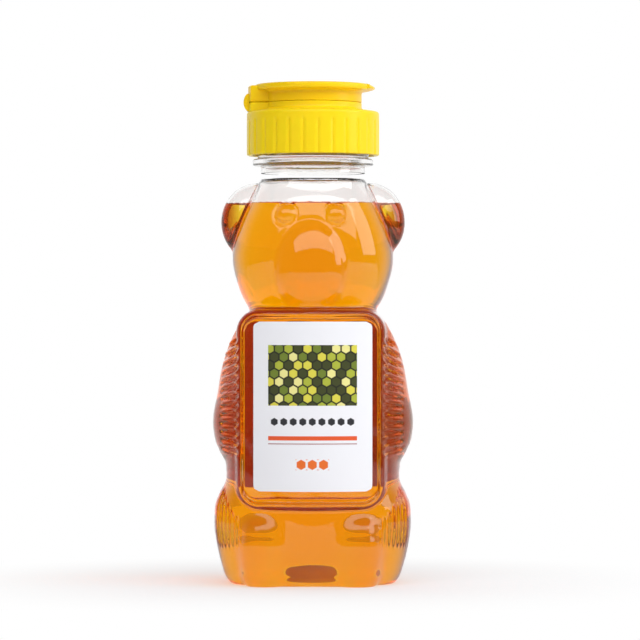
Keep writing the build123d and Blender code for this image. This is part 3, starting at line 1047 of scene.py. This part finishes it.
def lid_piece(material):
    """Top, flange, drum, plug pin, upper hinge block and thumb lip."""
    axis, edge = 0.001, 0.15
    cavity, ceiling, pin, pin_end = 13.8, LID_TOP - 1.4, 2.6, LID_TOP - 4.3
    rows = [(axis, LID_TOP - 0.12), (6.0, LID_TOP - 0.08), (FLANGE_RADIUS - 2.0, LID_TOP)]
    rows += arc_rows((FLANGE_RADIUS - 0.7, LID_TOP - 0.7), 0.7, 80, 0, 5)
    rows += arc_rows((FLANGE_RADIUS - 0.6, LID_TOP - 1.3), 0.6, 0, -90, 5)
    rows += arc_rows((DRUM_RADIUS + 1.3, LID_TOP - 3.2), 1.3, 90, 180, 6)
    rows += [(DRUM_RADIUS, LID_FOOT + edge), (DRUM_RADIUS - edge, LID_FOOT), (cavity, LID_FOOT)]
    rows += [(cavity, ceiling), (pin, ceiling), (pin, LID_TOP - 3.9)]
    rows += [(2.2, pin_end), (axis, pin_end)]
    body = mesh_object("turned_lid", *turned_rows(dense_rows(rows, 0.5), 288))
    block = hinge_block("upper_block", LID_FOOT + BLOCK_GAP, LID_FOOT + 5.1)
    made = join([body, block, thumb_lip()], "flip_top")
    merge_close(made)
    shade_by_angle(made, CRISP_ANGLE)
    made.data.materials.append(material)
    return made


def thumb_lip():
    """A wedge that carries the flange on to a thin lip."""
    half, root, tip, steps = 6.0, 15.5, 19.2, 12
    points, faces = [], []
    for i in range(steps + 1):
        y = -half + 2 * half * i / steps
        end = tip - 1.3 * abs(y / half) ** 3
        # Reach and depth under the lid's top, from under the flange round the tip
        section = [(root, 0.04), (16.6, 0.07), (17.6, 0.22), (end - 0.5, 0.62), (end, 1.05),
                   (end - 0.1, 1.35), (end - 0.6, 1.6), (root, 1.88)]
        points += [(x, y, LID_TOP - depth) for x, depth in section]
    count = len(section)
    for i in range(steps):
        for k in range(count):
            a, b = i * count + k, i * count + (k + 1) % count
            faces.append((a, b, b + count, a + count))
    faces += [tuple(range(count))[::-1], tuple(steps * count + k for k in range(count))]
    return mesh_object("lip", points, faces)


def strap_piece(material):
    """The folded spring strap, a bow between the hinge blocks."""
    half_width, back, bulge, inside = 4.0, 20.05, 1.3, 19.6
    half_span, middle, steps = 2.75, 148.55, 20
    points, faces = [], []
    for i in range(steps + 1):
        t = -1 + 2 * i / steps
        bow = bulge * (1 - t * t) ** 0.7
        for y in (-half_width, half_width):
            points.append((-back - bow, y, middle + half_span * t))
            points.append((-inside, y, middle + half_span * t * 0.9))
    for i in range(steps):
        a = i * 4
        faces += [(a, a + 2, a + 6, a + 4), (a + 1, a + 5, a + 7, a + 3)]
        faces += [(a, a + 4, a + 5, a + 1), (a + 2, a + 3, a + 7, a + 6)]
    last = steps * 4
    faces += [(0, 1, 3, 2), (last, last + 2, last + 3, last + 1)]
    made = mesh_object("spring_strap", points, faces)
    shade_by_angle(made, degrees=50)
    made.data.materials.append(material)
    return made


def liner_piece(material):
    """A foam ring between the rim and the cap, its edges eased."""
    low, high = RIM_LEVEL + 0.1, RIM_LEVEL + 0.9
    inner, outer, ease = 15.0, 17.2, 0.15
    rows = [(inner + ease, low), (outer - ease, low), (outer, low + ease), (outer, high - ease)]
    rows += [(outer - ease, high), (inner + ease, high), (inner, high - ease)]
    rows += [(inner, low + ease), (inner + ease, low)]
    made = mesh_object("foam_liner", *turned_rows(dense_rows(rows, 0.5), 180))
    merge_close(made)
    shade_by_angle(made, CRISP_ANGLE)
    made.data.materials.append(material)
    return made


# Stage

def stage():
    """A pale floor that fades to the white behind it, for the camera alone."""
    side, front, rear = 0.8, -0.7, 0.115
    mesh = bpy.data.meshes.new("floor")
    corners = [(-side, front, 0), (side, front, 0), (side, rear, 0), (-side, rear, 0)]
    mesh.from_pydata(corners, [], [(0, 1, 2, 3)])
    floor = linked("floor", mesh)
    material, nodes, links = new_material("pale_floor")
    pale = add(nodes, "ShaderNodeBsdfDiffuse", {"Color": (0.93, 0.92, 0.935, 1)})
    white = nodes.new("ShaderNodeEmission")
    where = nodes.new("ShaderNodeTexCoord")
    reach = add(nodes, "ShaderNodeVectorMath", operation="LENGTH")
    links.new(where.outputs["Object"], reach.inputs[0])
    away = reach.outputs["Value"]
    far = smooth_range(nodes, links, away, low=0.02, high=0.135, first=0.25)
    camera_ray = nodes.new("ShaderNodeLightPath").outputs["Is Camera Ray"]
    seen = combined(nodes, links, "MULTIPLY", far, camera_ray)
    show(nodes, links, mix_of(nodes, links, seen, pale, white))
    floor.data.materials.append(material)


def world():
    """A white sweep behind the bottle and a dimmer room in front of it."""
    made = bpy.data.worlds.new("studio")
    bpy.context.scene.world = made
    made.use_nodes = True
    nodes, links = made.node_tree.nodes, made.node_tree.links
    nodes.clear()
    out = nodes.new("ShaderNodeOutputWorld")
    shine = add(nodes, "ShaderNodeBackground", {"Color": WHITE})
    where = nodes.new("ShaderNodeTexCoord")
    parts = nodes.new("ShaderNodeSeparateXYZ")
    links.new(where.outputs["Generated"], parts.inputs[0])
    level = smooth_range(nodes, links, parts.outputs["Y"], low=0.0, high=0.75, first=0.12)
    camera_ray = nodes.new("ShaderNodeLightPath").outputs["Is Camera Ray"]
    strength = combined(nodes, links, "MAXIMUM", camera_ray, level)
    links.new(strength, shine.inputs["Strength"])
    links.new(shine.outputs[0], out.inputs["Surface"])


def lamp(name, place, size, power):
    """A soft box that points at the bottle's middle."""
    target = (0, 0, 0.1)
    data = bpy.data.lights.new(name, "AREA")
    data.shape = "RECTANGLE"
    data.size, data.size_y = size
    data.energy = power
    made = linked(name, data)
    made.location = place
    made.rotation_mode = "QUATERNION"
    made.rotation_quaternion = (Vector(target) - Vector(place)).to_track_quat("-Z", "Y")


def camera():
    """The photograph's view: level, 2 degrees to the right, with its scale at the bottle's axis."""
    distance, yaw, eye, side = 1.1, math.radians(2.0), 0.0813, 0.00217
    sensor, frame_pixels, pixel_size = 36, 640, 0.31
    data = bpy.data.cameras.new("camera")
    data.sensor_width = sensor
    data.lens = sensor * distance / (frame_pixels * pixel_size * MM)
    made = linked("camera", data)
    right = Vector((math.cos(yaw), math.sin(yaw), 0))
    back = Vector((math.sin(yaw), -math.cos(yaw), 0))
    made.location = back * distance + right * side + Vector((0, 0, eye))
    made.rotation_mode = "QUATERNION"
    made.rotation_quaternion = (-back).to_track_quat("-Z", "Y")
    bpy.context.scene.camera = made


# The pieces, each in its node's place, and all but the strap on its body

clear = clear_plastic()
wet = wet_wall()
closure_finish = {"roughness": 0.34, "grain": 0.1}
yellow = moulded_plastic("yellow_polypropylene", (1.0, 0.725, 0.008), **closure_finish)
# Painted shade: the lid and strap take the cap's yellow made deeper, for the shade under the
# flange.
shaded_yellow = moulded_plastic("yellow_polypropylene_painted_shade", (1.0, 0.66, 0.004), **closure_finish)
bottle = bottle_piece(clear, wet, worn_punt_painted_light())
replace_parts(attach(bottle, "shell"), "bottle")
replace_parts(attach(honey_piece(honey_material()), "shell"), "honey")
# Painted shade on the stuck side of each label.
painted_backing = coated("label_backing_painted_shade", LABEL_BACKING_SHADE, roughness=0.6, grain=0.15)[0]
front = label_piece("front_label", -1, printed_paper(), painted_backing)
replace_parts(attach(front, "shell"), "label_front")
plain = coated("plain_paper", LABEL_WHITE, roughness=0.45, grain=0.08)[0]
back = label_piece("back_label", 1, plain, painted_backing)
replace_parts(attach(back, "shell"), "label_back")
foam = moulded_plastic("liner_foam", (0.85, 0.84, 0.8), roughness=0.7, grain=0.5)
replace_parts(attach(liner_piece(foam), "seal"), "liner")
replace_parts(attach(cap_piece(yellow), "cap"), "cap_base")
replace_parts(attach(lid_piece(shaded_yellow), "lid"), "flip_lid")
strap = strap_piece(shaded_yellow)
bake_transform(strap)
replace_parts(strap, "hinge_strap")

stage()
world()
lamp("wide_softbox", place=(0.10, -0.60, 0.66), size=(1.8, 0.52), power=7.7)
lamp("right_softbox", place=(0.74, -0.14, 0.42), size=(0.4, 0.6), power=2.4)
camera()
bpy.context.scene.view_settings.view_transform = "Standard"
# Light crosses many walls of plastic and honey
BOUNCES = 32
paths = bpy.context.scene.cycles
paths.max_bounces = paths.transmission_bounces = paths.transparent_max_bounces = BOUNCES
